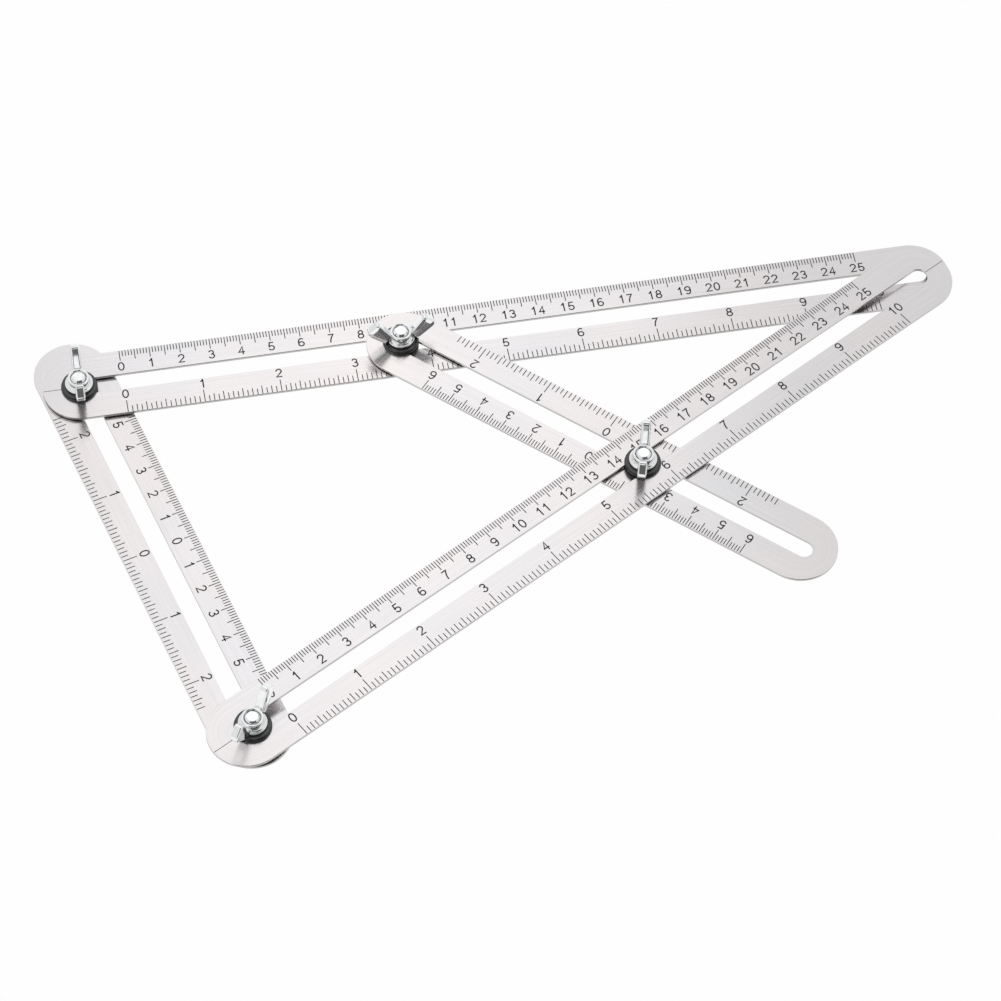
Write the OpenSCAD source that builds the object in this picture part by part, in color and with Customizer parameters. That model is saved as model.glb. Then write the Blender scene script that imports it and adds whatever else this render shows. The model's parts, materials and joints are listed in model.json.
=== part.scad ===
// Multi-angle folding ruler: four slotted steel rules, stacked in four layers and
// joined in a closed ring by four clamps, each a bolt with spacer, washers and wing nut.
// Millimetres. The origin is under the upper corner's bolt, on its flat head.
// +X runs along the upper long arm, and +Z points up out of the bolts.

/* [Arms] */
// Width of every arm, which is also the diameter of its round ends
arm_width = 25.4; // [20:0.1:34]
// Thickness of the steel
arm_thickness = 1; // [0.6:0.1:2]
// Overall length of the two long arms
long_arm_length = 307; // [220:1:400]
// Overall length of the two short arms
short_arm_length = 175; // [130:1:240]
// Steel left between the end of a slot and the end of its arm
slot_end_wall = 7.9; // [4:0.1:12]

/* [Clamp places] */
// Angle between the upper arm and the left arm
corner_angle = 75; // [55:1:100]
// Upper corner bolt to upper cross bolt, along the upper arm
upper_span = 107; // [80:0.5:140]
// Lower corner bolt to diagonal cross bolt, along the diagonal arm
diagonal_span = 158.4; // [120:0.1:200]
// Upper cross bolt to diagonal cross bolt, along the cross arm
cross_span = 93; // [70:0.5:125]
// Room left in the upper arm's slot behind the upper corner bolt
upper_arm_room = 1.6; // [0.5:0.1:30]
// Room left in the left arm's slot behind the upper corner bolt
left_arm_upper_room = 8.9; // [1.2:0.1:20]
// Room left in the left arm's slot past the lower corner bolt
left_arm_lower_room = 1.55; // [1.2:0.05:20]
// Room left in the diagonal arm's slot behind the lower corner bolt
diagonal_arm_room = 4.7; // [0.5:0.1:40]
// Room left in the cross arm's slot behind the upper cross bolt
cross_arm_room = 0.8; // [0.5:0.1:20]

/* [Bolts] */
// Diameter of the threaded shank
bolt_diameter = 5; // [4:0.1:6]
// Room on each side of the shank in a slot
slot_play = 0.5; // [0.3:0.05:0.8]
// How far the flat head reaches past the shank
head_rim = 3.5; // [2.5:0.1:4.5]
// Height of the flat head
head_height = 1.5; // [1:0.1:2]
// Chamfer round the rim of the head and round the end of the shank
bolt_chamfer = 0.4; // [0.1:0.05:0.8]
// Room on each side of the square neck that keeps the bolt from turning in its slot
neck_play = 0.5; // [0.3:0.05:0.7]
// Rounding of the neck's corners
neck_corner = 0.8; // [0.6:0.1:1.2]
// How far the neck stops short of the top of its arm
neck_recess = 0.1; // [0.05:0.05:0.3]
// How far the bolt stands out of a tight nut
bolt_stand_out = 0.4; // [0.1:0.1:2]

/* [Washers and spacers] */
// How far the washers and spacers reach past the shank
washer_rim = 3.5; // [2.5:0.1:5]
// Thickness of the friction washer that lies on the upper arm
friction_washer_thickness = 0.8; // [0.4:0.1:1.6]
// Thickness of the flat washer under the nut
flat_washer_thickness = 0.8; // [0.4:0.1:1.6]
// Chamfer round a washer's outer edges
washer_chamfer = 0.15; // [0.05:0.05:0.18]
// Thickness of the spacer between two neighbouring layers
spacer_thickness = 0.5; // [0.4:0.1:1]
// Radial clearance of everything that turns on a bolt
running_clearance = 0.05; // [0.02:0.01:0.1]

/* [Wing nuts] */
// Wall of the boss round the shank where it meets the washer
boss_base_wall = 2.25; // [1.8:0.05:3]
// Wall of the boss round the shank at its top
boss_top_wall = 1.35; // [1.1:0.05:1.6]
// Height of the boss
boss_height = 4; // [3:0.1:6]
// How far a wing's foot stands out from the base of the boss
wing_foot_reach = 0.9; // [0.4:0.1:1.4]
// Height of a wing's foot above the washer
wing_foot_height = 0.4; // [0.2:0.1:1]
// How far the middle of a wing's tip stands out from the base of the boss
wing_reach = 4.95; // [3.5:0.05:7]
// Height of the middle of a wing's tip above the washer
wing_height = 9.4; // [8:0.1:12]
// Width of a wing at its tip
wing_tip_width = 5; // [4:0.1:6]
// How far a wing's tip slopes down outward
wing_tip_slope = 20; // [0:1:35]
// Rounding of the two corners at a wing's tip
wing_corner = 1.5; // [0.5:0.1:1.8]
// Thickness of a wing
wing_thickness = 2.5; // [1.5:0.1:3.2]
// Turn of the upper corner's nut, from the upper arm's length
upper_corner_turn = 89; // [0:1:180]
// Turn of the upper cross clamp's nut
upper_cross_turn = 3.5; // [0:0.5:180]
// Turn of the diagonal cross clamp's nut
diagonal_cross_turn = 74; // [0:1:180]
// Turn of the lower corner's nut
lower_corner_turn = 51; // [0:1:180]

/* [Hidden] */
$fn = 96;

// Layers of the stack, from the bottom
LEFT_LAYER = 0;
UPPER_LAYER = 1;
CROSS_LAYER = 2;
DIAGONAL_LAYER = 3;
layer_pitch = arm_thickness + spacer_thickness;

// Sizes that follow the bolt
bolt_radius = bolt_diameter / 2;
slot_width = bolt_diameter + 2 * slot_play;
neck_width = slot_width - 2 * neck_play;
head_radius = bolt_radius + head_rim;
washer_radius = bolt_radius + washer_rim;
bore_radius = bolt_radius + running_clearance;
boss_base_radius = bolt_radius + boss_base_wall;
boss_top_radius = bolt_radius + boss_top_wall;
washer_stack = friction_washer_thickness + flat_washer_thickness;

// End of each arm to its first bolt
bolt_setback = slot_end_wall + bolt_radius;
upper_arm_tail = bolt_setback + upper_arm_room;
left_arm_tail = bolt_setback + left_arm_upper_room;
diagonal_arm_tail = bolt_setback + diagonal_arm_room;
cross_arm_tail = bolt_setback + cross_arm_room;
left_span = short_arm_length - left_arm_tail - bolt_setback - left_arm_lower_room;

// Places of the four bolts: the ring of spans closes at the diagonal cross bolt
upper_corner = [0, 0];
upper_cross = [upper_span, 0];
lower_corner = left_span * [cos(corner_angle), -sin(corner_angle)];
brace = upper_cross - lower_corner;
brace_length = norm(brace);
brace_along = brace / brace_length;
brace_across = [brace_along.y, -brace_along.x];
along_brace = (brace_length^2 + diagonal_span^2 - cross_span^2) / (2 * brace_length);
across_brace = sqrt(diagonal_span^2 - along_brace^2);
diagonal_cross = lower_corner + along_brace * brace_along + across_brace * brace_across;

// Directions of the arms, from the first bolt of each toward its second
upper_angle = 0;
left_angle = -corner_angle;
diagonal_angle = direction(diagonal_cross - lower_corner);
cross_angle = direction(diagonal_cross - upper_cross);

// Clamps: place, lower layer, upper layer, direction of the lower arm, turn of the nut
UPPER_CORNER = [upper_corner, LEFT_LAYER, UPPER_LAYER, left_angle, upper_corner_turn];
UPPER_CROSS = [upper_cross, UPPER_LAYER, CROSS_LAYER, upper_angle, upper_cross_turn];
DIAGONAL_CROSS = [diagonal_cross, CROSS_LAYER, DIAGONAL_LAYER, cross_angle, diagonal_cross_turn];
LOWER_CORNER = [lower_corner, LEFT_LAYER, DIAGONAL_LAYER, left_angle, lower_corner_turn];

// Reach of a cutting body into open air
cut_margin = 1;

function direction(v) = atan2(v.y, v.x);
function unit(v) = v / norm(v);
// Half the angle at corner p between its neighbours a and b
function half_corner(a, p, b) = acos(unit(a - p) * unit(b - p)) / 2;
// Middle of the circle that rounds corner p
function corner_centre(a, p, b) =
    p + unit(unit(a - p) + unit(b - p)) * wing_corner / sin(half_corner(a, p, b));
// Where that circle meets the edge from p to a
function tangent_point(a, p, b) = p + unit(a - p) * wing_corner / tan(half_corner(a, p, b));
function layer_bottom(layer) = head_height + layer * layer_pitch;
function layer_top(layer) = layer_bottom(layer) + arm_thickness;
function place(clamp) = clamp[0];
function lower_bottom(clamp) = layer_bottom(clamp[1]);
function lower_top(clamp) = layer_top(clamp[1]);
function upper_bottom(clamp) = layer_bottom(clamp[2]);
function upper_top(clamp) = layer_top(clamp[2]);
function neck_turn(clamp) = clamp[3];
function nut_turn(clamp) = clamp[4];

// Flat outline with round ends, from x = start to x = end
module rounded_bar(start, end, width) {
    translate([start + width / 2, -width / 2])
        square([end - start - width, width]);
    for (x = [start + width / 2, end - width / 2])
        translate([x, 0])
            circle(d = width);
}

// Square outline with rounded corners
module rounded_square(width, corner) {
    inner = width - 2 * corner;
    square([width, inner], center = true);
    square([inner, width], center = true);
    for (x = [-1, 1], y = [-1, 1])
        translate([x, y] * inner / 2)
            circle(r = corner);
}

// Slotted rule whose first bolt is at the origin, tail behind it
module slotted_arm(length, tail) {
    linear_extrude(arm_thickness)
        difference() {
            rounded_bar(-tail, length - tail, arm_width);
            rounded_bar(slot_end_wall - tail, length - tail - slot_end_wall, slot_width);
        }
}

module placed_arm(first_bolt, angle, layer, length, tail) {
    color("gainsboro")
        translate([first_bolt.x, first_bolt.y, layer_bottom(layer)])
            rotate(angle)
                slotted_arm(length, tail);
}

// Bolt with flat head, square neck in the lower arm and shank up through the nut
module bolt(clamp) {
    head_bottom = lower_bottom(clamp) - head_height;
    shank_top = upper_top(clamp) + washer_stack + boss_height + bolt_stand_out;
    length = shank_top - head_bottom;
    color("silver")
        translate([place(clamp).x, place(clamp).y, head_bottom]) {
            rotate_extrude()
                polygon([
                    [0, 0], [head_radius - bolt_chamfer, 0], [head_radius, bolt_chamfer],
                    [head_radius, head_height], [bolt_radius, head_height],
                    [bolt_radius, length - bolt_chamfer], [bolt_radius - bolt_chamfer, length], [0, length]
                ]);
            translate([0, 0, head_height])
                rotate(neck_turn(clamp))
                    linear_extrude(arm_thickness - neck_recess)
                        rounded_square(neck_width, neck_corner);
        }
}

// Ring with chamfered outer edges and a running bore
module ring(thickness, chamfer) {
    inner_edge = washer_radius - chamfer;
    rotate_extrude()
        polygon([
            [bore_radius, 0], [inner_edge, 0], [washer_radius, chamfer],
            [washer_radius, thickness - chamfer], [inner_edge, thickness], [bore_radius, thickness]
        ]);
}

module spacer(clamp) {
    color("black")
        translate([place(clamp).x, place(clamp).y, lower_top(clamp)])
            ring(upper_bottom(clamp) - lower_top(clamp), washer_chamfer / 2);
}

module friction_washer(clamp) {
    color("black")
        translate([place(clamp).x, place(clamp).y, upper_top(clamp)])
            ring(friction_washer_thickness, washer_chamfer);
}

module flat_washer(clamp) {
    color("dimgray")
        translate([place(clamp).x, place(clamp).y, upper_top(clamp) + friction_washer_thickness])
            ring(flat_washer_thickness, washer_chamfer);
}

// Outline of one wing in the plane through the bolt's axis: x outward, y up
module wing_outline() {
    inner_root = [boss_top_radius, boss_height];
    inner_foot = [bore_radius, wing_foot_height];
    outer_foot = [boss_base_radius + wing_foot_reach, wing_foot_height];
    tip = [boss_base_radius + wing_reach, wing_height];
    slope = [cos(wing_tip_slope), -sin(wing_tip_slope)];
    inner_tip = tip - slope * wing_tip_width / 2;
    outer_tip = tip + slope * wing_tip_width / 2;
    polygon([
        [bore_radius, boss_height], inner_foot, outer_foot,
        tangent_point(outer_foot, outer_tip, inner_tip), tangent_point(inner_tip, outer_tip, outer_foot),
        tangent_point(outer_tip, inner_tip, inner_root), tangent_point(inner_root, inner_tip, outer_tip),
        inner_root
    ]);
    translate(corner_centre(outer_foot, outer_tip, inner_tip))
        circle(r = wing_corner);
    translate(corner_centre(outer_tip, inner_tip, inner_root))
        circle(r = wing_corner);
}

module wing() {
    rotate([90, 0, 0])
        translate([0, 0, -wing_thickness / 2])
            linear_extrude(wing_thickness)
                wing_outline();
}

module wing_nut(clamp) {
    color("lightgray")
        translate([place(clamp).x, place(clamp).y, upper_top(clamp) + washer_stack])
            rotate(nut_turn(clamp))
                difference() {
                    union() {
                        cylinder(h = boss_height, r1 = boss_base_radius, r2 = boss_top_radius);
                        for (side = [0, 180])
                            rotate(side)
                                wing();
                    }
                    translate([0, 0, -cut_margin])
                        cylinder(h = boss_height + 2 * cut_margin, r = bore_radius);
                }
}

module upper_long_arm()
    placed_arm(upper_corner, upper_angle, UPPER_LAYER, long_arm_length, upper_arm_tail);
module diagonal_long_arm()
    placed_arm(lower_corner, diagonal_angle, DIAGONAL_LAYER, long_arm_length, diagonal_arm_tail);
module left_short_arm()
    placed_arm(upper_corner, left_angle, LEFT_LAYER, short_arm_length, left_arm_tail);
module cross_short_arm()
    placed_arm(upper_cross, cross_angle, CROSS_LAYER, short_arm_length, cross_arm_tail);

module upper_corner_bolt() bolt(UPPER_CORNER);
module upper_corner_spacer() spacer(UPPER_CORNER);
module upper_corner_friction_washer() friction_washer(UPPER_CORNER);
module upper_corner_flat_washer() flat_washer(UPPER_CORNER);
module upper_corner_wing_nut() wing_nut(UPPER_CORNER);

module upper_cross_bolt() bolt(UPPER_CROSS);
module upper_cross_spacer() spacer(UPPER_CROSS);
module upper_cross_friction_washer() friction_washer(UPPER_CROSS);
module upper_cross_flat_washer() flat_washer(UPPER_CROSS);
module upper_cross_wing_nut() wing_nut(UPPER_CROSS);

module diagonal_cross_bolt() bolt(DIAGONAL_CROSS);
module diagonal_cross_spacer() spacer(DIAGONAL_CROSS);
module diagonal_cross_friction_washer() friction_washer(DIAGONAL_CROSS);
module diagonal_cross_flat_washer() flat_washer(DIAGONAL_CROSS);
module diagonal_cross_wing_nut() wing_nut(DIAGONAL_CROSS);

module lower_corner_bolt() bolt(LOWER_CORNER);
module lower_corner_spacer() spacer(LOWER_CORNER);
module lower_corner_friction_washer() friction_washer(LOWER_CORNER);
module lower_corner_flat_washer() flat_washer(LOWER_CORNER);
module lower_corner_wing_nut() wing_nut(LOWER_CORNER);

upper_long_arm();
diagonal_long_arm();
left_short_arm();
cross_short_arm();
upper_corner_bolt();
upper_corner_spacer();
upper_corner_friction_washer();
upper_corner_flat_washer();
upper_corner_wing_nut();
upper_cross_bolt();
upper_cross_spacer();
upper_cross_friction_washer();
upper_cross_flat_washer();
upper_cross_wing_nut();
diagonal_cross_bolt();
diagonal_cross_spacer();
diagonal_cross_friction_washer();
diagonal_cross_flat_washer();
diagonal_cross_wing_nut();
lower_corner_bolt();
lower_corner_spacer();
lower_corner_friction_washer();
lower_corner_flat_washer();
lower_corner_wing_nut();
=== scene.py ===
"""Looks of the folding ruler: brushed steel arms with etched scales, plated bolts and nuts, black washers."""
import json
import math
from collections import namedtuple

import bmesh
import bpy
from mathutils import Euler, Matrix, Vector


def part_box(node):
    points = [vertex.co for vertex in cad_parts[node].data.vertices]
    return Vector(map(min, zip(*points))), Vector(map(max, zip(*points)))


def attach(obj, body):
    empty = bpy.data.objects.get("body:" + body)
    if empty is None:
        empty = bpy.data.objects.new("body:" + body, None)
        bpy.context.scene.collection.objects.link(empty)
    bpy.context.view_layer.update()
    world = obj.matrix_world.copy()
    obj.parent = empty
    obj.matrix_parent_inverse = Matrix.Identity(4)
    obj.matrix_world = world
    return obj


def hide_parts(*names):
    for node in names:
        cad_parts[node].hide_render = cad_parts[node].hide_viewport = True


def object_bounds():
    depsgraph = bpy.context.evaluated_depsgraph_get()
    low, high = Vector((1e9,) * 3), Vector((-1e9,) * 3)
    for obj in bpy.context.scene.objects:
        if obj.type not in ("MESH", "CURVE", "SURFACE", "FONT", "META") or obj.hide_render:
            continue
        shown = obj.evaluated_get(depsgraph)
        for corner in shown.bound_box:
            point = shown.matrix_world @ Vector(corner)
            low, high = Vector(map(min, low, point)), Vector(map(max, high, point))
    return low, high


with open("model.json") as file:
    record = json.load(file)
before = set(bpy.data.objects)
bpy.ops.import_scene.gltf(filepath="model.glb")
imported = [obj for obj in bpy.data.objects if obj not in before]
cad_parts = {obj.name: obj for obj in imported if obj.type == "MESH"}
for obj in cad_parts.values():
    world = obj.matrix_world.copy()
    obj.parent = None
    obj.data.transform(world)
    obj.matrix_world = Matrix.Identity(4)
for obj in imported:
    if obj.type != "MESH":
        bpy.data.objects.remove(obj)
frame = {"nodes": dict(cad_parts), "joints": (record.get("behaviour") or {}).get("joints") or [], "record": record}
cad_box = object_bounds()

MM = 0.001
CENTIMETRE = 10 * MM
INCH = 25.4 * MM
UP = Vector((0, 0, 1))
WHITE = (1, 1, 1, 1)

# Photograph's view: where the camera looks, from how far, and its turn
AIM = Vector((128.8, -64.56, 0)) * MM
VIEW_DISTANCE = 1177.8 * MM
VIEW_HEADING = math.radians(12.56)
VIEW_DROP = math.radians(56.04)
VIEW_ROLL = math.radians(2.46)
LENS = 130.73
SENSOR = 36

# Floor, and a bright world with a dark oval on the camera's side that polished metal mirrors
FLOOR_SIZE = 6.0
FLOOR_COLOUR = (0.9, 0.9, 0.9, 1)
FLOOR_ROUGHNESS = 0.9
FLOOR_WHITENESS = 0.98
SHADE_TILT = math.radians(44)
SHADE_HEADING = math.radians(10)
SHADE_LEAN = math.radians(-15)
SHADE_REACH = (0.6, 0.8, 3)
SHADE_DARK_EDGE = 0.86
SHADE_BRIGHT_EDGE = 1.04
WORLD_BRIGHT = 0.8
WORLD_DIM = 0.12

# Softboxes: places and sizes in metres, power in watts
KEY_PLACE = Vector((0.2, 0.6, 1.0))
KEY_SIZE = (0.4, 0.76)
KEY_POWER = 0.32
FILL_PLACE = Vector((0.08, -0.63, 0.95))
FILL_SIZE = (0.32, 0.32)
FILL_POWER = 0.3

# Round forms
TURN_STEPS = 72
CORNER_STEPS = 5

# Arms
SLOT_WIDTH = 6 * MM
EDGE_BREAK = 0.12 * MM
END_STEPS = 40
SIDE_STEPS = 36
OUTER_ARC = 0
SLOT_ARC = 1
WALL_SIDES = (1, 5)

# Etched ticks: their lengths, and at which counts from zero the longer ones come
ETCH_HEIGHT = 0.012 * MM
ETCH_ROOT = 0.01 * MM
TICK_WIDTH = 0.3 * MM
TICK_INSET = 0.2 * MM
TICKS_PER_CENTIMETRE = 10
TICKS_PER_INCH = 16
METRIC_TICKS = {
    "Fine": 2.3 * MM, "Medium": 2.3 * MM, "Coarse": 4.0 * MM, "Main": 4.0 * MM,
    "Medium Every": 1, "Coarse Every": 5, "Main Every": TICKS_PER_CENTIMETRE,
}
INCH_TICKS = {
    "Fine": 2.3 * MM, "Medium": 2.7 * MM, "Coarse": 3.2 * MM, "Main": 4.7 * MM,
    "Medium Every": 2, "Coarse Every": 4, "Main Every": TICKS_PER_INCH,
}
LONG_SCALE_ZERO = 26.5 * MM
LONG_CENTIMETRES = 25
LONG_INCHES = 10
SHORT_CENTIMETRES = 6
SHORT_INCHES = 2
SHORT_INCH_TICKS = 38
SCRIBE_WIDTH = 0.2 * MM

# Etched figures: feet from the arm's middle line, then stroke and spacing in shares of their height
FIGURE_HEIGHT = 3.5 * MM
METRIC_FIGURES_FOOT = 4.35 * MM
INCH_FIGURES_FOOT = -6.9 * MM
FIGURE_STROKE = 0.135
FIGURE_ADVANCE = 0.777
FIGURE_ARC_STEPS = 18
FIGURE_OVAL_STEPS = 28
STROKE_MITRE_LIMIT = 0.55

# Bolts and washers
THREAD_PITCH = 0.8 * MM
THREAD_ROW = THREAD_PITCH / 8
THREAD_DEPTH = 0.42 * MM
BOLT_RADIUS = 2.5 * MM
BOLT_PLAY = 0.05 * MM
BOLT_END_CHAMFER = 0.7 * MM
HEAD_RADIUS = 6 * MM
HEAD_HEIGHT = 1.5 * MM
HEAD_ROUNDING = 0.4 * MM
NECK_WIDTH = 5 * MM
NECK_HEIGHT = 0.9 * MM
NECK_CORNER = 0.8 * MM
WASHER_ROUNDING = 0.25 * MM
WASHER_ROUNDING_SHARE = 1 / 3
FLAT_WASHER_STEP = 0.25 * MM

# Wing nuts
NUT_BORE = 2.62 * MM
NUT_COUNTERSINK = 0.3 * MM
NUT_HEIGHT = 4 * MM
NUT_ROUNDING = 0.3 * MM
RING_RADIUS = 3.55 * MM
SKIRT_RADIUS = 4.6 * MM
SKIRT_HEIGHT = 1.2 * MM
COVE_STEPS = 8
WING_ROOT_THICKNESS = 3.2 * MM
WING_TIP_THICKNESS = 2.6 * MM
WING_EDGE_ROUNDING = 0.4 * MM
WING_EDGE_STEPS = 4
WING_CROWN_INSET = 1.5 * MM
WING_CROWN = 0.2 * MM
WING_FOOT_HEIGHT = 0.4 * MM
WING_FOOT_REACH = 5.65 * MM
WING_TIP_REACH = 9.9 * MM
WING_TIP_HEIGHT = 8.8 * MM
WING_TIP_WIDTH = 6 * MM
WING_TIP_SLOPE = math.radians(41)
WING_OUTER_CORNER = 2 * MM
WING_INNER_CORNER = 1.2 * MM
WING_CORNER_STEPS = 8
WING_MITRE_LIMIT = 0.5
NUT_VOXEL = 0.09 * MM
NUT_SMOOTH_PASSES = 10
NUT_SMOOTH_FACTOR = 0.5

# Finishes: the range that most of a noise's values fill, and the share of a relief that shows
NOISE_LOW = 0.25
NOISE_HIGH = 0.75
BUMP_STRENGTH = 0.08

JOINTS = {joint["name"]: joint for joint in frame["joints"]}
BODIES = frame["record"]["behaviour"]["bodies"]
# Each arm's slide joint, and whether its scale reads along that joint's axis or against it
ARMS = {
    "upper_long_arm": ("upper_arm_slide", 1),
    "diagonal_long_arm": ("diagonal_arm_slide", -1),
    "left_short_arm": ("left_arm_slide", 1),
    "cross_short_arm": ("cross_arm_slide", 1),
}
# Each clamp, and the slide joint of its lower arm, whose slot holds the square neck of the bolt
CLAMPS = {
    "upper_corner": "left_arm_slide",
    "upper_cross": "upper_arm_slide",
    "diagonal_cross": "cross_arm_slide",
    "lower_corner": "left_arm_slide",
}
ArmShape = namedtuple("ArmShape", "length width thickness place")


def body_of(node_name):
    """Name of the body that holds a node."""
    return next(body for body, nodes in BODIES.items() if node_name in nodes)


# Meshes and node trees

def finished(name, bm, materials, smooth=False, faces_out=False):
    """Turns a bmesh into an object at the origin. Its faces are turned outward if they aren't so already."""
    if not faces_out:
        bmesh.ops.recalc_face_normals(bm, faces=bm.faces)
    mesh = bpy.data.meshes.new(name)
    bm.to_mesh(mesh)
    bm.free()
    for material in materials:
        mesh.materials.append(material)
    mesh.polygons.foreach_set("use_smooth", [smooth] * len(mesh.polygons))
    piece = bpy.data.objects.new(name, mesh)
    bpy.context.scene.collection.objects.link(piece)
    return piece


def baked_mesh(carrier):
    """Plain mesh of an object with its modifiers applied. The object is removed."""
    depsgraph = bpy.context.evaluated_depsgraph_get()
    mesh = bpy.data.meshes.new_from_object(carrier.evaluated_get(depsgraph))
    bpy.data.objects.remove(carrier)
    return mesh


def outward(angle):
    """Level unit vector at an angle."""
    return Vector((math.cos(angle), math.sin(angle), 0))


def ellipse_arc(centre, reach, start, end, steps):
    """Points along an upright ellipse from one angle to another, in degrees. reach is across and up."""
    points = []
    for step in range(steps + 1):
        angle = math.radians(start + (end - start) * step / steps)
        points.append((centre[0] + reach[0] * math.cos(angle), centre[1] + reach[1] * math.sin(angle)))
    return points


def rounded_corner(centre, radius, start, end, steps=CORNER_STEPS):
    """Points along a circle from one angle to another, in degrees."""
    return ellipse_arc(centre, (radius, radius), start, end, steps)


def tube(bm, rings, closed=False):
    """Skin over rings of corners, which is joined end to end if closed and capped if not."""
    following = rings[1:] + rings[:1] if closed else rings[1:]
    for here, there in zip(rings, following):
        for i in range(len(here)):
            j = (i + 1) % len(here)
            bm.faces.new((here[i], here[j], there[j], there[i]))
    if not closed:
        bm.faces.new(rings[0][::-1])
        bm.faces.new(rings[-1])


def lathe(bm, profile, closed, place=Matrix.Identity(4)):
    """Turns a profile of (radius, height) points about Z: a ring if it is closed, a capped solid if not."""
    turns = [outward(2 * math.pi * step / TURN_STEPS) for step in range(TURN_STEPS)]
    rings = []
    for radius, height in profile:
        rings.append([bm.verts.new(place @ (turn * radius + UP * height)) for turn in turns])
    tube(bm, rings, closed)


def node(tree, kind, sockets=None, **settings):
    """Adds a node. sockets gives an input's value, or the output that feeds it, by name or number."""
    made = tree.nodes.new(kind)
    for key, value in settings.items():
        setattr(made, key, value)
    for key, value in (sockets or {}).items():
        if isinstance(value, bpy.types.NodeSocket):
            tree.links.new(value, made.inputs[key])
        else:
            made.inputs[key].default_value = value
    return made


def math_node(tree, operation, *values):
    """Result of a sum on values or outputs."""
    return node(tree, "ShaderNodeMath", dict(enumerate(values)), operation=operation).outputs[0]


# Arms

def arm_shape(node_name, along):
    """Sizes and place of an arm: X runs along it from its first end, Z up from its underside."""
    across = UP.cross(along)
    points = [vertex.co for vertex in frame["nodes"][node_name].data.vertices]
    reach = [point.dot(along) for point in points]
    spread = [point.dot(across) for point in points]
    low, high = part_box(node_name)
    place = Matrix((along, across, UP)).transposed().to_4x4()
    place.translation = along * min(reach) + across * (min(spread) + max(spread)) / 2 + UP * low.z
    return ArmShape(max(reach) - min(reach), max(spread) - min(spread), high.z - low.z, place)


def arm_stations(length, outer, slot_end, slot):
    """Round an arm, anticlockwise from its far end: the middles of the outer and slot arcs, and a heading."""
    far = (length - outer, length - slot_end - slot)
    near = (outer, slot_end + slot)
    stations = []
    for here, there, first in ((far, near, -90), (near, far, 90)):
        for step in range(END_STEPS):
            stations.append((here, first + 180 * step / END_STEPS))
        for step in range(SIDE_STEPS):
            share = step / SIDE_STEPS
            middles = tuple(a + (b - a) * share for a, b in zip(here, there))
            stations.append((middles, first + 180))
    return stations


def arm_section(outer, slot, thickness):
    """Corners of the steel beside the slot: the arc that each follows, its radius, height and UV place."""
    wide = outer - slot
    return [
        (OUTER_ARC, outer - EDGE_BREAK, thickness, wide),
        (OUTER_ARC, outer, thickness - EDGE_BREAK, wide + EDGE_BREAK),
        (OUTER_ARC, outer, EDGE_BREAK, wide + thickness),
        (OUTER_ARC, outer - EDGE_BREAK, 0, wide + thickness + EDGE_BREAK),
        (SLOT_ARC, slot + EDGE_BREAK, 0, -thickness - EDGE_BREAK),
        (SLOT_ARC, slot, EDGE_BREAK, -thickness),
        (SLOT_ARC, slot, thickness - EDGE_BREAK, -EDGE_BREAK),
        (SLOT_ARC, slot + EDGE_BREAK, thickness, 0),
    ]


def slotted_arm(name, arm, slot_end, materials):
    """Steel rule with broken edges. Its UV map runs round the arm and across it, in metres."""
    outer, slot = arm.width / 2, SLOT_WIDTH / 2
    section = arm_section(outer, slot, arm.thickness)
    across = [corner[-1] for corner in section]
    bm = bmesh.new()
    uv = bm.loops.layers.uv.new("grain")
    rings = []
    for middles, heading in arm_stations(arm.length, outer, slot_end, slot):
        out = outward(math.radians(heading))
        spots = [Vector((middles[arc], 0, z)) + out * radius for arc, radius, z, _ in section]
        rings.append([bm.verts.new(arm.place @ spot) for spot in spots])
    track = [(ring[0].co + ring[-1].co) / 2 for ring in rings]
    runs = [0]
    for here, there in zip(track, track[1:] + track[:1]):
        runs.append(runs[-1] + (there - here).length)
    for i, ring in enumerate(rings):
        following = rings[(i + 1) % len(rings)]
        for j in range(len(section)):
            k = (j + 1) % len(section)
            face = bm.faces.new((ring[j], following[j], following[k], ring[k]))
            face.material_index = 1 if j in WALL_SIDES else 0
            for loop, (station, side) in zip(face.loops, ((i, j), (i + 1, j), (i + 1, k), (i, k))):
                loop[uv].uv = (runs[station], across[side])
    return finished(name, bm, materials)


# Etched marks

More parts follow.
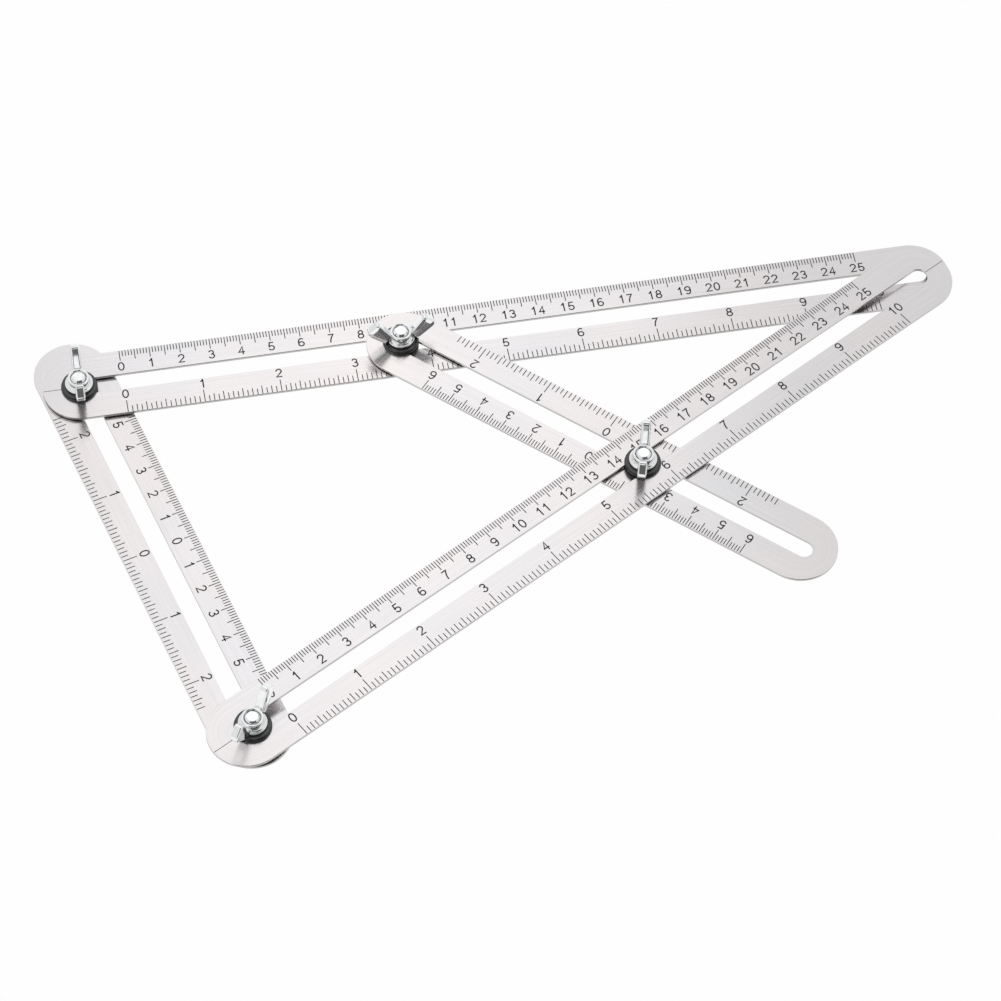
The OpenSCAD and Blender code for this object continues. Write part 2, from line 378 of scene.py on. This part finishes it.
def tick_row_tree():
    """Row of ticks along an arm's edge: fine, medium, coarse and main ticks by their count from zero."""
    tree = bpy.data.node_groups.new("tick_row", "GeometryNodeTree")
    tree.interface.new_socket("Geometry", in_out="OUTPUT", socket_type="NodeSocketGeometry")
    counts = ("Count", "First", "Medium Every", "Coarse Every", "Main Every")
    places = ("Step", "Zero", "Edge", "Inward", "Base")
    sizes = ("Fine", "Medium", "Coarse", "Main", "Width", "Height")
    for name in counts:
        tree.interface.new_socket(name, in_out="INPUT", socket_type="NodeSocketInt")
    for name in places + sizes:
        tree.interface.new_socket(name, in_out="INPUT", socket_type="NodeSocketFloat")
    tree.interface.new_socket("Ink", in_out="INPUT", socket_type="NodeSocketMaterial")
    given = node(tree, "NodeGroupInput").outputs

    index = node(tree, "GeometryNodeInputIndex").outputs[0]
    number = math_node(tree, "ADD", index, given["First"])
    distance = math_node(tree, "ABSOLUTE", number)
    length = given["Fine"]
    for size in ("Medium", "Coarse", "Main"):
        rest = math_node(tree, "MODULO", distance, given[size + " Every"])
        hit = math_node(tree, "LESS_THAN", rest, 0.5)
        choice = {"Switch": hit, "False": length, "True": given[size]}
        length = node(tree, "GeometryNodeSwitch", choice, input_type="FLOAT").outputs[0]
    along = math_node(tree, "MULTIPLY_ADD", number, given["Step"], given["Zero"])
    half = math_node(tree, "MULTIPLY", length, 0.5)
    across = math_node(tree, "MULTIPLY_ADD", half, given["Inward"], given["Edge"])
    middle = math_node(tree, "MULTIPLY_ADD", given["Height"], 0.5, given["Base"])
    spot = node(tree, "ShaderNodeCombineXYZ", {0: along, 1: across, 2: middle})
    points = node(tree, "GeometryNodePoints", {"Count": given["Count"], "Position": spot.outputs[0]})
    bar = node(tree, "GeometryNodeMeshCube", {"Size": (1, 1, 1)})
    size = node(tree, "ShaderNodeCombineXYZ", {0: given["Width"], 1: length, 2: given["Height"]})
    row = {"Points": points.outputs[0], "Instance": bar.outputs["Mesh"], "Scale": size.outputs[0]}
    bars = node(tree, "GeometryNodeInstanceOnPoints", row)
    solid = node(tree, "GeometryNodeRealizeInstances", {0: bars.outputs[0]})
    inked = node(tree, "GeometryNodeSetMaterial", {"Geometry": solid.outputs[0], "Material": given["Ink"]})
    node(tree, "NodeGroupOutput", {0: inked.outputs[0]})
    return tree


def tick_row(tree, values):
    """Plain mesh of one row of ticks."""
    carrier = bpy.data.objects.new("tick_row", bpy.data.meshes.new("tick_row"))
    bpy.context.scene.collection.objects.link(carrier)
    modifier = carrier.modifiers.new("ticks", "NODES")
    modifier.node_group = tree
    for item in tree.interface.items_tree:
        if item.in_out == "INPUT":
            modifier[item.identifier] = values[item.name]
    return baked_mesh(carrier)


def figure_arc(x, y, reach_x, reach_y, start, end):
    """Bow of a figure, angles in degrees."""
    return ellipse_arc((x, y), (reach_x, reach_y), start, end, FIGURE_ARC_STEPS)


def figure_oval(x, y, reach_x, reach_y):
    """Closed loop of a figure."""
    last = 360 - 360 / FIGURE_OVAL_STEPS
    return ellipse_arc((x, y), (reach_x, reach_y), 0, last, FIGURE_OVAL_STEPS - 1)


def figure_shapes():
    """Middle lines of each figure's strokes in a cell one unit high: lists of (points, closed)."""
    low, high = FIGURE_STROKE / 2, 1 - FIGURE_STROKE / 2
    flag = [(-0.17, 0.71), (-0.04, 0.79), (0.07, 0.93)]
    two = figure_arc(0, 0.69, 0.245, high - 0.69, 175, -32) + [(-0.26, low), (0.28, low)]
    three = figure_arc(-0.01, 0.72, 0.215, high - 0.72, 165, -78)
    three += figure_arc(0, 0.305, 0.25, 0.305 - low, 80, -165)
    four = [(0.12, 0), (0.12, 0.92), (-0.26, 0.3), (0.3, 0.3)]
    five = [(0.24, high), (-0.15, high), (-0.215, 0.47)]
    five += figure_arc(0, 0.315, 0.25, 0.315 - low, 142, -165)
    hook = figure_arc(0.01, 0.5, 0.262, 0.5 - low, 45, 190)
    six = [(hook, False), (figure_oval(0.005, 0.31, 0.25, 0.31 - low), True)]
    seven = [(-0.255, high), (0.25, high), (0.07, 0.62), (-0.04, 0.32), (-0.08, 0)]
    upper, lower = figure_oval(0, 0.72, 0.205, high - 0.72), figure_oval(0, 0.292, 0.25, 0.292 - low)
    return {
        "0": [(figure_oval(0, 0.5, 0.255, 0.5 - low), True)],
        "1": [([(0.07, 0), (0.07, 1)], False), (flag, False)],
        "2": [(two, False)],
        "3": [(three, False)],
        "4": [(four, False)],
        "5": [(five, False)],
        "6": six,
        "7": [(seven, False)],
        "8": [(upper, True), (lower, True)],
        "9": [([(-x, 1 - y) for x, y in points], closed) for points, closed in six],
    }


FIGURES = figure_shapes()


def stroke(bm, points, width, closed, base, top):
    """Solid line of even width along flat points."""
    rings = []
    for i, point in enumerate(points):
        before = points[i - 1] if i or closed else None
        after = points[(i + 1) % len(points)] if i + 1 < len(points) or closed else None
        came = (point - before).normalized() if before else (after - point).normalized()
        goes = (after - point).normalized() if after else came
        mean = (came + goes).normalized()
        side = Vector((-mean.y, mean.x)) * width / 2 / max(mean.dot(came), STROKE_MITRE_LIMIT)
        left, right = point + side, point - side
        corners = ((*left, top), (*right, top), (*right, base), (*left, base))
        rings.append([bm.verts.new(corner) for corner in corners])
    tube(bm, rings, closed)


def number_label(bm, number, x, foot, base, top):
    """Upright number, centred on x, standing on the line y = foot."""
    figures = str(number)
    advance = FIGURE_ADVANCE * FIGURE_HEIGHT
    first = x - (len(figures) - 1) / 2 * advance
    for i, figure in enumerate(figures):
        corner = Vector((first + i * advance, foot))
        for points, closed in FIGURES[figure]:
            line = [corner + Vector(point) * FIGURE_HEIGHT for point in points]
            stroke(bm, line, FIGURE_STROKE * FIGURE_HEIGHT, closed, base, top)


def scale_marks(name, arm, slot_end, tree, ink):
    """Ticks, figures and centre lines of one arm: centimetres along one edge, inches along the other."""
    long_arm = arm.length > LONG_CENTIMETRES * CENTIMETRE
    zero = LONG_SCALE_ZERO if long_arm else arm.length / 2
    if long_arm:
        centimetres = range(LONG_CENTIMETRES + 1)
        inches = range(LONG_INCHES + 1)
        sixteenths = range(LONG_INCHES * TICKS_PER_INCH + 1)
    else:
        centimetres = range(-SHORT_CENTIMETRES, SHORT_CENTIMETRES + 1)
        inches = range(-SHORT_INCHES, SHORT_INCHES + 1)
        sixteenths = range(-SHORT_INCH_TICKS, SHORT_INCH_TICKS + 1)
    millimetres = range(centimetres[0] * TICKS_PER_CENTIMETRE, centimetres[-1] * TICKS_PER_CENTIMETRE + 1)
    base, top = arm.thickness - ETCH_ROOT, arm.thickness + ETCH_HEIGHT
    common = {"Zero": zero, "Width": TICK_WIDTH, "Base": base, "Height": top - base, "Ink": ink}
    edge = arm.width / 2 - TICK_INSET
    rows = (
        (millimetres, CENTIMETRE / TICKS_PER_CENTIMETRE, edge, -1.0, METRIC_TICKS),
        (sixteenths, INCH / TICKS_PER_INCH, -edge, 1.0, INCH_TICKS),
    )
    labels = ((centimetres, CENTIMETRE, METRIC_FIGURES_FOOT), (inches, INCH, INCH_FIGURES_FOOT))
    bm = bmesh.new()
    for ticks, step, side, inward, sizes in rows:
        row = {"First": ticks[0], "Count": len(ticks), "Step": step, "Edge": side, "Inward": inward}
        bm.from_mesh(tick_row(tree, {**common, **row, **sizes}))
    for numbers, unit, foot in labels:
        for number in numbers:
            number_label(bm, abs(number), zero + number * unit, foot, base, top)
    if long_arm:
        for start in (0, arm.length - slot_end):
            line = [Vector((start + EDGE_BREAK, 0)), Vector((start + slot_end - EDGE_BREAK, 0))]
            stroke(bm, line, SCRIBE_WIDTH, False, base, top)
    bm.transform(arm.place)
    # The tick rows come with a slot number of their own
    for face in bm.faces:
        face.material_index = 0
    return finished(name, bm, [ink], faces_out=True)


# Clamps

def washer(name, node_name, centre, step, material):
    """Ring with rounded rims in the place of a washer or spacer, its rim stepped back a little."""
    low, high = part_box(node_name)
    bore = BOLT_RADIUS + BOLT_PLAY
    rounding = min(WASHER_ROUNDING, (high.z - low.z) * WASHER_ROUNDING_SHARE)
    rim = (high.x - low.x) / 2 - step - rounding
    profile = [(bore, high.z), (bore, low.z)]
    profile += rounded_corner((rim, low.z + rounding), rounding, -90, 0)
    profile += rounded_corner((rim, high.z - rounding), rounding, 0, 90)
    bm = bmesh.new()
    lathe(bm, profile, True, Matrix.Translation((centre.x, centre.y, 0)))
    return finished(name, bm, [material], smooth=True)


def bolt_head(bm, centre, bottom, top):
    """Flat round head, rounded below."""
    profile = rounded_corner((HEAD_RADIUS - HEAD_ROUNDING, bottom + HEAD_ROUNDING), HEAD_ROUNDING, -90, 0)
    profile.append((HEAD_RADIUS, top))
    lathe(bm, profile, False, Matrix.Translation((centre.x, centre.y, 0)))


def bolt_neck(bm, centre, heading, bottom, top):
    """Square neck with rounded corners."""
    inner = NECK_WIDTH / 2 - NECK_CORNER
    outline = []
    for quarter in range(4):
        middle = Matrix.Rotation(math.pi / 2 * quarter, 2) @ Vector((inner, inner))
        outline += rounded_corner(middle, NECK_CORNER, 90 * quarter, 90 * quarter + 90)
    turn = Matrix.Rotation(heading, 2)
    flat = [turn @ Vector(point) + centre.to_2d() for point in outline]
    tube(bm, [[bm.verts.new((*point, z)) for point in flat] for z in (bottom, top)])


def threaded_shank(bm, centre, bottom, top):
    """Screw thread as one surface: its radius rises and falls along a helix, and its end is chamfered."""
    rows = round((top - bottom) / THREAD_ROW)
    rings = []
    for row in range(rows + 1):
        z = bottom + (top - bottom) * row / rows
        chamfer = BOLT_RADIUS - BOLT_END_CHAMFER + (top - z)
        ring = []
        for step in range(TURN_STEPS):
            turn = step / TURN_STEPS
            phase = (z / THREAD_PITCH - turn) % 1
            groove = THREAD_DEPTH * (1 - abs(2 * phase - 1))
            radius = min(BOLT_RADIUS - groove, chamfer)
            spot = Vector((centre.x, centre.y, z)) + outward(2 * math.pi * turn) * radius
            ring.append(bm.verts.new(spot))
        rings.append(ring)
    tube(bm, rings)


def bolt(name, node_name, centre, neck_heading, material):
    """Bolt with a flat round head, a square neck and a threaded shank."""
    low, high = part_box(node_name)
    head_top = low.z + HEAD_HEIGHT
    neck_top = head_top + NECK_HEIGHT
    bm = bmesh.new()
    bolt_head(bm, centre, low.z, head_top)
    bolt_neck(bm, centre, neck_heading, head_top, neck_top)
    threaded_shank(bm, centre, neck_top, high.z)
    return finished(name, bm, [material])


def wing_corner(before, corner, after, radius):
    """Points of the arc that rounds a corner between two straight edges."""
    to_before, to_after = (before - corner).normalized(), (after - corner).normalized()
    half = to_before.angle(to_after) / 2
    middle = corner + (to_before + to_after).normalized() * radius / math.sin(half)
    start = corner + to_before * radius / math.tan(half) - middle
    end = corner + to_after * radius / math.tan(half) - middle
    first = math.degrees(math.atan2(start.y, start.x))
    sweep = (math.degrees(math.atan2(end.y, end.x)) - first) % 360
    return [Vector(p) for p in rounded_corner(middle, radius, first, first + sweep, WING_CORNER_STEPS)]


def wing_outline():
    """One wing in the plane through the bolt's axis: (out, up) points, rounded at the tip."""
    tip = Vector((WING_TIP_REACH, WING_TIP_HEIGHT))
    half_tip = Vector((math.cos(WING_TIP_SLOPE), -math.sin(WING_TIP_SLOPE))) * WING_TIP_WIDTH / 2
    inner_tip, outer_tip = tip - half_tip, tip + half_tip
    root = Vector((RING_RADIUS - NUT_ROUNDING, NUT_HEIGHT - 2 * NUT_ROUNDING))
    inside = Vector((NUT_BORE + NUT_ROUNDING, WING_FOOT_HEIGHT))
    foot = Vector((WING_FOOT_REACH, WING_FOOT_HEIGHT))
    points = [root, inside, foot]
    points += wing_corner(foot, outer_tip, inner_tip, WING_OUTER_CORNER)
    points += wing_corner(outer_tip, inner_tip, root, WING_INNER_CORNER)
    return points


def inset(points, distance):
    """Closed anticlockwise outline moved inward."""
    moved = []
    for i, point in enumerate(points):
        came = (point - points[i - 1]).normalized()
        goes = (points[(i + 1) % len(points)] - point).normalized()
        mean = (came + goes).normalized()
        inward = Vector((-mean.y, mean.x))
        moved.append(point + inward * distance / max(mean.dot(came), WING_MITRE_LIMIT))
    return moved


def wing(bm, side):
    """One wing: a crowned plate that thins toward its tip, with rounded edges."""
    full = wing_outline()
    layers = []
    for step in range(WING_EDGE_STEPS + 1):
        angle = math.pi / 2 * step / WING_EDGE_STEPS
        inward = WING_EDGE_ROUNDING * (1 - math.cos(angle))
        layers.append((inset(full, inward), WING_EDGE_ROUNDING * (math.sin(angle) - 1)))
    layers.append((inset(full, WING_CROWN_INSET), WING_CROWN))
    rings = []
    for sign, ordered in ((-1, layers[::-1]), (1, layers)):
        for outline, rise in ordered:
            ring = []
            for point in outline:
                share = min(max(point.y / WING_TIP_HEIGHT, 0), 1)
                half = (WING_ROOT_THICKNESS + (WING_TIP_THICKNESS - WING_ROOT_THICKNESS) * share) / 2
                ring.append(bm.verts.new((side * point.x, sign * (half + rise), point.y)))
            rings.append(ring)
    tube(bm, rings)


def wing_nut_mesh():
    """Wing nut at the origin with its wings along X: a ring on a coved skirt, blended with the wings."""
    cove = SKIRT_RADIUS - RING_RADIUS - NUT_ROUNDING
    cove_middle = (RING_RADIUS + cove, SKIRT_HEIGHT + cove)
    skirt_rim = (SKIRT_RADIUS - NUT_ROUNDING, SKIRT_HEIGHT - NUT_ROUNDING)
    ring_rim = (RING_RADIUS - NUT_ROUNDING, NUT_HEIGHT - NUT_ROUNDING)
    profile = [(NUT_BORE, 0), (SKIRT_RADIUS - NUT_ROUNDING, 0), (SKIRT_RADIUS, NUT_ROUNDING)]
    profile += rounded_corner(skirt_rim, NUT_ROUNDING, 0, 90)
    profile += rounded_corner(cove_middle, cove, 270, 180, COVE_STEPS)
    profile += rounded_corner(ring_rim, NUT_ROUNDING, 0, 90)
    profile += [(NUT_BORE + NUT_COUNTERSINK, NUT_HEIGHT), (NUT_BORE, NUT_HEIGHT - NUT_COUNTERSINK)]
    bm = bmesh.new()
    lathe(bm, profile, True)
    wing(bm, 1)
    wing(bm, -1)
    casting = finished("wing_nut_casting", bm, [])
    remesh = casting.modifiers.new("blend", "REMESH")
    remesh.mode = "VOXEL"
    remesh.voxel_size = NUT_VOXEL
    smooth = casting.modifiers.new("rounding", "SMOOTH")
    smooth.factor = NUT_SMOOTH_FACTOR
    smooth.iterations = NUT_SMOOTH_PASSES
    return baked_mesh(casting)


def wing_heading(node_name, centre):
    """Angle of a nut's wings, from the spread of its corners."""
    spread = [vertex.co - centre for vertex in frame["nodes"][node_name].data.vertices]
    cross = sum(p.x * p.y for p in spread)
    square = sum(p.x * p.x - p.y * p.y for p in spread)
    return math.atan2(2 * cross, square) / 2


def wing_nut(name, node_name, centre, casting, material):
    """Copy of the casting in the place of a nut."""
    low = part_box(node_name)[0]
    turn = Matrix.Rotation(wing_heading(node_name, centre), 4, "Z")
    bm = bmesh.new()
    bm.from_mesh(casting)
    bm.transform(Matrix.Translation((centre.x, centre.y, low.z)) @ turn)
    return finished(name, bm, [material], smooth=True)


# Materials

def value_group(name, inputs):
    """Shader group with number inputs and one number output. Gives the tree and its inputs."""
    tree = bpy.data.node_groups.new(name, "ShaderNodeTree")
    for socket in inputs:
        tree.interface.new_socket(socket, in_out="INPUT", socket_type="NodeSocketFloat")
    tree.interface.new_socket("Value", in_out="OUTPUT", socket_type="NodeSocketFloat")
    return tree, node(tree, "NodeGroupInput").outputs


def put_out_noise(tree, given, **texture):
    """Noise from the group's Low to its High, as the group's output."""
    noise = node(tree, "ShaderNodeTexNoise", texture)
    span = {"From Min": NOISE_LOW, "From Max": NOISE_HIGH, "To Min": given["Low"], "To Max": given["High"]}
    level = node(tree, "ShaderNodeMapRange", {"Value": noise.outputs[0], **span})
    node(tree, "NodeGroupOutput", {0: level.outputs[0]})


def streak_group():
    """Stretched noise along a UV map that is in metres: fine lines left by a brush or a cutter."""
    tree, given = value_group("streaks", ("Along", "Across", "Low", "High"))
    uv = node(tree, "ShaderNodeUVMap", uv_map="grain").outputs[0]
    density = node(tree, "ShaderNodeCombineXYZ", {0: given["Along"], 1: given["Across"], 2: 1}).outputs[0]
    place = node(tree, "ShaderNodeVectorMath", {0: uv, 1: density}, operation="MULTIPLY").outputs[0]
    put_out_noise(tree, given, Vector=place, Scale=1, Detail=2, Roughness=0.6)
    return tree


def mottle_group():
    """Soft blotches in the object's own space."""
    tree, given = value_group("mottle", ("Scale", "Low", "High"))
    space = node(tree, "ShaderNodeTexCoord").outputs["Object"]
    put_out_noise(tree, given, Vector=space, Scale=given["Scale"], Detail=3)
    return tree


STREAKS = streak_group()
MOTTLE = mottle_group()


def streaks(tree, along, across, low=0, high=1):
    """Lines of a brush or cutter: how many there are in a metre along and across them, and their values."""
    values = {"Along": along, "Across": across, "Low": low, "High": high}
    return node(tree, "ShaderNodeGroup", values, node_tree=STREAKS).outputs[0]


def mottle(tree, scale, low=0, high=1):
    """Blotches: how many there are in a metre, and their values."""
    values = {"Scale": scale, "Low": low, "High": high}
    return node(tree, "ShaderNodeGroup", values, node_tree=MOTTLE).outputs[0]


def blend_colours(tree, share, first, second):
    """Colour between two. The Mix node's colours are its inputs 6 and 7 and its output 2."""
    colours = {0: share, 6: (*first, 1), 7: (*second, 1)}
    return node(tree, "ShaderNodeMix", colours, data_type="RGBA").outputs[2]


def relief(tree, height, depth):
    """Normal of a shallow relief, its depth in metres."""
    sockets = {"Strength": BUMP_STRENGTH, "Distance": depth, "Height": height}
    return node(tree, "ShaderNodeBump", sockets).outputs[0]


def new_material(name, **constants):
    """Material with a Principled shader whose plain values are set on its own sockets."""
    material = bpy.data.materials.new(name)
    material.use_nodes = True
    tree = material.node_tree
    shader = tree.nodes["Principled BSDF"]
    for key, value in constants.items():
        shader.inputs[key.replace("_", " ")].default_value = value
    return material, tree, shader


def connect(tree, shader, **outputs):
    """Feeds the shader's sockets with what varies over the surface."""
    for key, output in outputs.items():
        tree.links.new(output, shader.inputs[key.replace("_", " ")])


def brushed_steel():
    """Arms' faces: fine lines along the arm over faint warm and cool patches."""
    material, tree, shader = new_material("brushed_steel", Metallic=1.0, Anisotropic=0.4)
    cool, warm = (0.785, 0.785, 0.805), (0.88, 0.825, 0.82)
    tint = blend_colours(tree, mottle(tree, scale=16), cool, warm)
    lines = streaks(tree, along=25, across=2200, low=0.93, high=1.04)
    shade = node(tree, "ShaderNodeVectorMath", {0: tint, "Scale": lines}, operation="SCALE").outputs[0]
    gloss = streaks(tree, along=30, across=3000, low=0.17, high=0.27)
    grooves = relief(tree, streaks(tree, along=25, across=1500), depth=0.03 * MM)
    connect(tree, shader, Base_Color=shade, Roughness=gloss, Normal=grooves)
    return material


def cut_edge():
    """Arms' cut walls: darker, partly as duller cut steel and partly as painted shade for the shadowed floor that
    the walls mirror, with lines of the cutter across them.
    """
    material, tree, shader = new_material("cut_wall_steel_painted_shade", Metallic=1.0)
    # The low base colour is partly painted shade, standing for the shaded floor beside the object that the walls
    # mirror; the cutter lines blended over it are real grain.
    dark, light = (0.46, 0.455, 0.45), (0.58, 0.57, 0.56)
    tint = blend_colours(tree, streaks(tree, along=3000, across=300), dark, light)
    connect(tree, shader, Base_Color=tint, Roughness=mottle(tree, scale=700, low=0.25, high=0.4))
    return material


def etched_ink():
    """Black of the scales."""
    material, tree, shader = new_material("etched_ink", Metallic=0.0)
    dark, light = (0.03, 0.03, 0.032), (0.07, 0.068, 0.068)
    tint = blend_colours(tree, mottle(tree, scale=900), dark, light)
    connect(tree, shader, Base_Color=tint, Roughness=mottle(tree, scale=1500, low=0.5, high=0.7))
    return material


def zinc_plate():
    """Bright plating of bolts and nuts, a little uneven."""
    material, tree, shader = new_material("zinc_plate", Metallic=1.0)
    dull, bright = (0.84, 0.86, 0.87), (0.95, 0.96, 0.96)
    tint = blend_colours(tree, mottle(tree, scale=350), dull, bright)
    gloss = mottle(tree, scale=600, low=0.05, high=0.13)
    ripples = relief(tree, mottle(tree, scale=250), depth=0.2 * MM)
    connect(tree, shader, Base_Color=tint, Roughness=gloss, Normal=ripples)
    return material


def black_finish(name, dark, light, rough, grain, gloss):
    """Black surface with fine speckle and grain, which is given in blotches to a metre."""
    material, tree, shader = new_material(name, Metallic=0.0, Specular_IOR_Level=gloss)
    tint = blend_colours(tree, mottle(tree, scale=grain), dark, light)
    patches = mottle(tree, scale=1.5 * grain, low=rough[0], high=rough[1])
    pores = relief(tree, mottle(tree, scale=2 * grain), depth=0.05 * MM)
    connect(tree, shader, Base_Color=tint, Roughness=patches, Normal=pores)
    return material


def friction_rubber():
    """Friction washers."""
    dark, light = (0.007, 0.007, 0.007), (0.018, 0.018, 0.018)
    return black_finish("friction_rubber", dark, light, rough=(0.28, 0.4), grain=900, gloss=0.8)


def blackened_washer():
    """Flat washers."""
    dark, light = (0.007, 0.007, 0.008), (0.018, 0.018, 0.02)
    return black_finish("blackened_washer", dark, light, rough=(0.2, 0.3), grain=700, gloss=1.0)


def moulded_nylon():
    """Spacers."""
    dark, light = (0.014, 0.014, 0.014), (0.03, 0.03, 0.03)
    return black_finish("moulded_nylon", dark, light, rough=(0.4, 0.55), grain=800, gloss=0.5)


def pale_floor():
    """White to the camera and in reflections, with the object's shadow kept faint."""
    constants = {"Base_Color": FLOOR_COLOUR, "Roughness": FLOOR_ROUGHNESS}
    material, tree, shader = new_material("pale_floor", **constants)
    path = node(tree, "ShaderNodeLightPath").outputs
    seen = math_node(tree, "MAXIMUM", path["Is Camera Ray"], path["Is Glossy Ray"])
    seen = math_node(tree, "MAXIMUM", seen, path["Is Transmission Ray"])
    share = math_node(tree, "MULTIPLY", seen, FLOOR_WHITENESS)
    white = node(tree, "ShaderNodeEmission", {"Color": WHITE, "Strength": 1})
    mix = node(tree, "ShaderNodeMixShader", {0: share, 1: shader.outputs[0], 2: white.outputs[0]})
    tree.links.new(mix.outputs[0], tree.nodes["Material Output"].inputs["Surface"])
    return material


# Stage

def stage_floor():
    """Flat sheet under the object."""
    middle = Vector((AIM.x, AIM.y, cad_box[0].z))
    bm = bmesh.new()
    corners = [Vector((x, y, 0)) * FLOOR_SIZE / 2 for x, y in ((-1, -1), (1, -1), (1, 1), (-1, 1))]
    bm.faces.new([bm.verts.new(middle + corner) for corner in corners])
    floor = finished("floor", bm, [pale_floor()])


def studio_world():
    """Bright all round but for a dark oval on the camera's side, and white where the camera sees it."""
    world = bpy.data.worlds.new("studio")
    bpy.context.scene.world = world
    world.use_nodes = True
    tree = world.node_tree
    turn = Euler((SHADE_TILT, 0, SHADE_HEADING)).to_matrix() @ Matrix.Rotation(SHADE_LEAN, 3, "Z")
    oval = {"Location": turn @ UP, "Rotation": turn.to_euler(), "Scale": SHADE_REACH}
    heading = node(tree, "ShaderNodeTexCoord").outputs["Generated"]
    local = node(tree, "ShaderNodeMapping", {"Vector": heading, **oval}, vector_type="TEXTURE").outputs[0]
    away = node(tree, "ShaderNodeVectorMath", {0: local}, operation="LENGTH").outputs["Value"]
    fade = {"From Min": SHADE_DARK_EDGE, "From Max": SHADE_BRIGHT_EDGE, "To Min": WORLD_DIM,
            "To Max": WORLD_BRIGHT}
    level = node(tree, "ShaderNodeMapRange", {"Value": away, **fade}, interpolation_type="SMOOTHSTEP")
    seen = node(tree, "ShaderNodeLightPath").outputs["Is Camera Ray"]
    strength = node(tree, "ShaderNodeMix", {0: seen, 2: level.outputs[0], 3: 1.0}, data_type="FLOAT")
    background = tree.nodes["Background"].inputs
    background["Color"].default_value = WHITE
    tree.links.new(strength.outputs[0], background["Strength"])


def soft_lamp(name, place, size, power):
    """Softbox that faces the object."""
    lamp = bpy.data.lights.new(name, "AREA")
    lamp.shape = "RECTANGLE"
    lamp.size, lamp.size_y = size
    lamp.energy = power
    holder = bpy.data.objects.new(name, lamp)
    bpy.context.scene.collection.objects.link(holder)
    holder.location = place
    holder.rotation_euler = (AIM - place).to_track_quat("-Z", "Y").to_euler()


def photo_camera():
    """Camera at the photograph's place."""
    lens = bpy.data.cameras.new("photo_view")
    lens.lens = LENS
    lens.sensor_width = SENSOR
    lens.clip_end = 2 * FLOOR_SIZE
    camera = bpy.data.objects.new("photo_view", lens)
    bpy.context.scene.collection.objects.link(camera)
    level = math.cos(VIEW_DROP)
    ahead = Vector((math.sin(VIEW_HEADING) * level, math.cos(VIEW_HEADING) * level, -math.sin(VIEW_DROP)))
    turn = ahead.to_track_quat("-Z", "Y").to_matrix().to_4x4() @ Matrix.Rotation(VIEW_ROLL, 4, "Z")
    camera.matrix_world = Matrix.Translation(AIM - ahead * VIEW_DISTANCE) @ turn
    bpy.context.scene.camera = camera


# Assembly

def dress(piece, node_name):
    """The piece takes a node's place."""
    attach(piece, body_of(node_name))
    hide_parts(node_name)


def dress_arms():
    """Steel and scale of each arm."""
    steel = [brushed_steel(), cut_edge()]
    ink = etched_ink()
    ticks = tick_row_tree()
    arms = {}
    for node_name, (slide, sense) in ARMS.items():
        arms[node_name] = arm_shape(node_name, Vector(JOINTS[slide]["axis"]) * sense)
    slot = next(mount for mount in frame["record"]["mounts"] if mount["name"] == "upper_arm_slot")
    slot_end = (arms["upper_long_arm"].length - slot["dims"]["slot_length_mm"] * MM) / 2
    for node_name, arm in arms.items():
        dress(slotted_arm(node_name + "_steel", arm, slot_end, steel), node_name)
        marks = scale_marks(node_name + "_marks", arm, slot_end, ticks, ink)
        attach(marks, body_of(node_name))


def dress_clamps():
    """Bolt, spacer, washers and wing nut of each clamp."""
    zinc = zinc_plate()
    rings = (
        ("spacer", 0, moulded_nylon(), "black_nylon"),
        ("friction_washer", 0, friction_rubber(), "black_rubber"),
        ("flat_washer", FLAT_WASHER_STEP, blackened_washer(), "black_paint"),
    )
    casting = wing_nut_mesh()
    for clamp, lower_slide in CLAMPS.items():
        centre = Vector(JOINTS[clamp + "_nut_turn"]["pos_m"])
        along = Vector(JOINTS[lower_slide]["axis"])
        neck_heading = math.atan2(along.y, along.x)
        node_name = clamp + "_bolt"
        dress(bolt(node_name + "_screw", node_name, centre, neck_heading, zinc), node_name)
        for kind, step, material, slot in rings:
            node_name = f"{clamp}_{kind}"
            dress(washer(node_name + "_ring", node_name, centre, step, material), node_name)
        node_name = clamp + "_wing_nut"
        dress(wing_nut(node_name + "_casting", node_name, centre, casting, zinc), node_name)
    bpy.data.meshes.remove(casting)


bpy.context.scene.view_settings.view_transform = "Standard"
photo_camera()
stage_floor()
studio_world()
soft_lamp("key_softbox", KEY_PLACE, KEY_SIZE, KEY_POWER)
soft_lamp("fill_softbox", FILL_PLACE, FILL_SIZE, FILL_POWER)
dress_arms()
dress_clamps()
